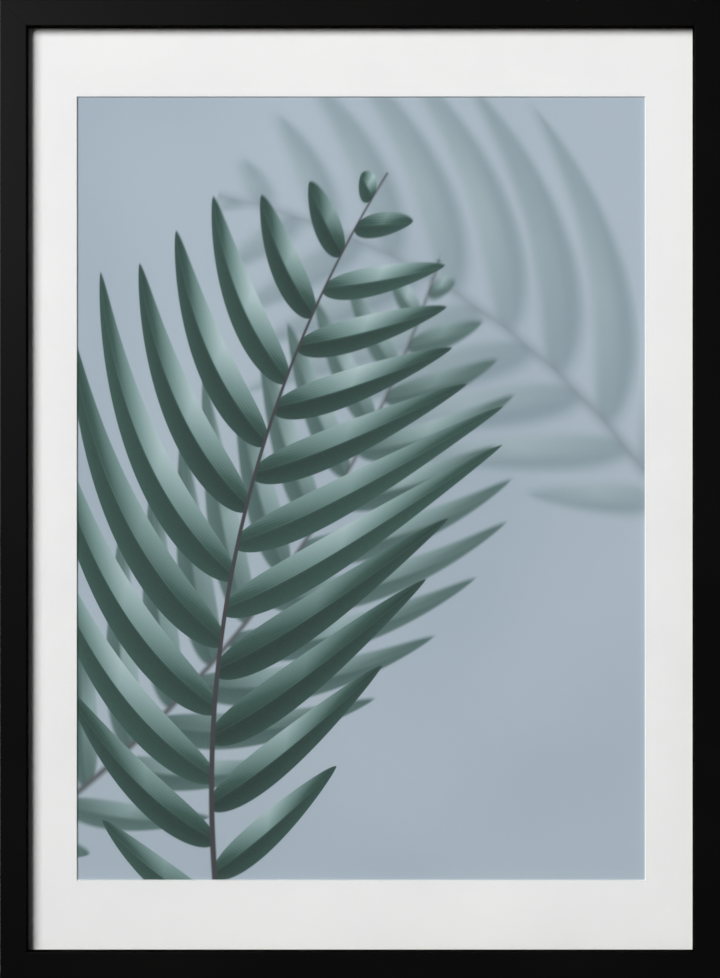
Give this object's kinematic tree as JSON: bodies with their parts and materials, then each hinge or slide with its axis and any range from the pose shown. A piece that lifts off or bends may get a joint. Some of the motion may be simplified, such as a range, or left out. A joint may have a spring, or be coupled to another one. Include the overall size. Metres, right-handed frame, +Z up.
{
  "type": "framed picture",
  "caption": "Wall picture in a mitred black frame: glazed, with a bevelled white mat round a botanical print, turn buttons and sawtooth hangers behind.",
  "frame": {"origin": "the notch of the upright hanger in which the wall nail carries the picture, in the plane of the rails' backs", "axes": "+X to the right as the picture is seen, +Y from the viewer to the wall, +Z up"},
  "size_m": [0.532, 0.0245, 0.7226],
  "materials": {
    "black_lacquer": "satin black lacquer on wood",
    "clear_glass": "clear float glass",
    "white_mat": "white mat board with a white core",
    "print_paper": "matte print paper, blue-grey ground with green fronds",
    "grey_card": "uncoated card",
    "hardboard": "brown hardboard, smooth side out",
    "zinc_plate": "zinc plated steel",
    "screw_steel": "zinc plated steel",
    "hanger_steel": "zinc plated steel",
    "nail_steel": "bright steel",
    "key_steel": "bare steel",
    "bumper_rubber": "matte black rubber"
  },
  "bodies": {
    "frame": {"rail_top": "black_lacquer", "rail_bottom": "black_lacquer", "rail_left": "black_lacquer", "rail_right": "black_lacquer", "glazing": "clear_glass", "mat": "white_mat", "print": "print_paper", "filler_board": "grey_card", "backing_board": "hardboard", "button_screw_top_1": "screw_steel", "button_screw_top_2": "screw_steel", "button_screw_right_1": "screw_steel", "button_screw_right_2": "screw_steel", "button_screw_bottom_1": "screw_steel", "button_screw_bottom_2": "screw_steel", "button_screw_left_1": "screw_steel", "button_screw_left_2": "screw_steel", "hanger_upright": "hanger_steel", "hanger_sideways": "hanger_steel", "hanger_nail_upright_1": "nail_steel", "hanger_nail_upright_2": "nail_steel", "hanger_nail_sideways_1": "nail_steel", "hanger_nail_sideways_2": "nail_steel", "corner_key_top_left": "key_steel", "corner_key_top_right": "key_steel", "corner_key_bottom_left": "key_steel", "corner_key_bottom_right": "key_steel", "bumper_top_left": "bumper_rubber", "bumper_top_right": "bumper_rubber", "bumper_bottom_left": "bumper_rubber", "bumper_bottom_right": "bumper_rubber"},
    "button_top_1": {"turn_button_top_1": "zinc_plate"},
    "button_top_2": {"turn_button_top_2": "zinc_plate"},
    "button_right_1": {"turn_button_right_1": "zinc_plate"},
    "button_right_2": {"turn_button_right_2": "zinc_plate"},
    "button_bottom_1": {"turn_button_bottom_1": "zinc_plate"},
    "button_bottom_2": {"turn_button_bottom_2": "zinc_plate"},
    "button_left_1": {"turn_button_left_1": "zinc_plate"},
    "button_left_2": {"turn_button_left_2": "zinc_plate"}
  },
  "joints": [
    {"name": "swivel_top_1", "type": "hinge", "parent": "frame", "child": "button_top_1", "pos_m": [-0.123, 0.0009, 0.002], "axis": [0, 1, 0], "continuous": true},
    {"name": "swivel_top_2", "type": "hinge", "parent": "frame", "child": "button_top_2", "pos_m": [0.123, 0.0009, 0.002], "axis": [0, 1, 0], "continuous": true},
    {"name": "swivel_right_1", "type": "hinge", "parent": "frame", "child": "button_right_1", "pos_m": [0.258, 0.0009, -0.18065], "axis": [0, 1, 0], "continuous": true},
    {"name": "swivel_right_2", "type": "hinge", "parent": "frame", "child": "button_right_2", "pos_m": [0.258, 0.0009, -0.52195], "axis": [0, 1, 0], "continuous": true},
    {"name": "swivel_bottom_1", "type": "hinge", "parent": "frame", "child": "button_bottom_1", "pos_m": [0.123, 0.0009, -0.7046], "axis": [0, 1, 0], "continuous": true},
    {"name": "swivel_bottom_2", "type": "hinge", "parent": "frame", "child": "button_bottom_2", "pos_m": [-0.123, 0.0009, -0.7046], "axis": [0, 1, 0], "continuous": true},
    {"name": "swivel_left_1", "type": "hinge", "parent": "frame", "child": "button_left_1", "pos_m": [-0.258, 0.0009, -0.52195], "axis": [0, 1, 0], "continuous": true},
    {"name": "swivel_left_2", "type": "hinge", "parent": "frame", "child": "button_left_2", "pos_m": [-0.258, 0.0009, -0.18065], "axis": [0, 1, 0], "continuous": true}
  ]
}
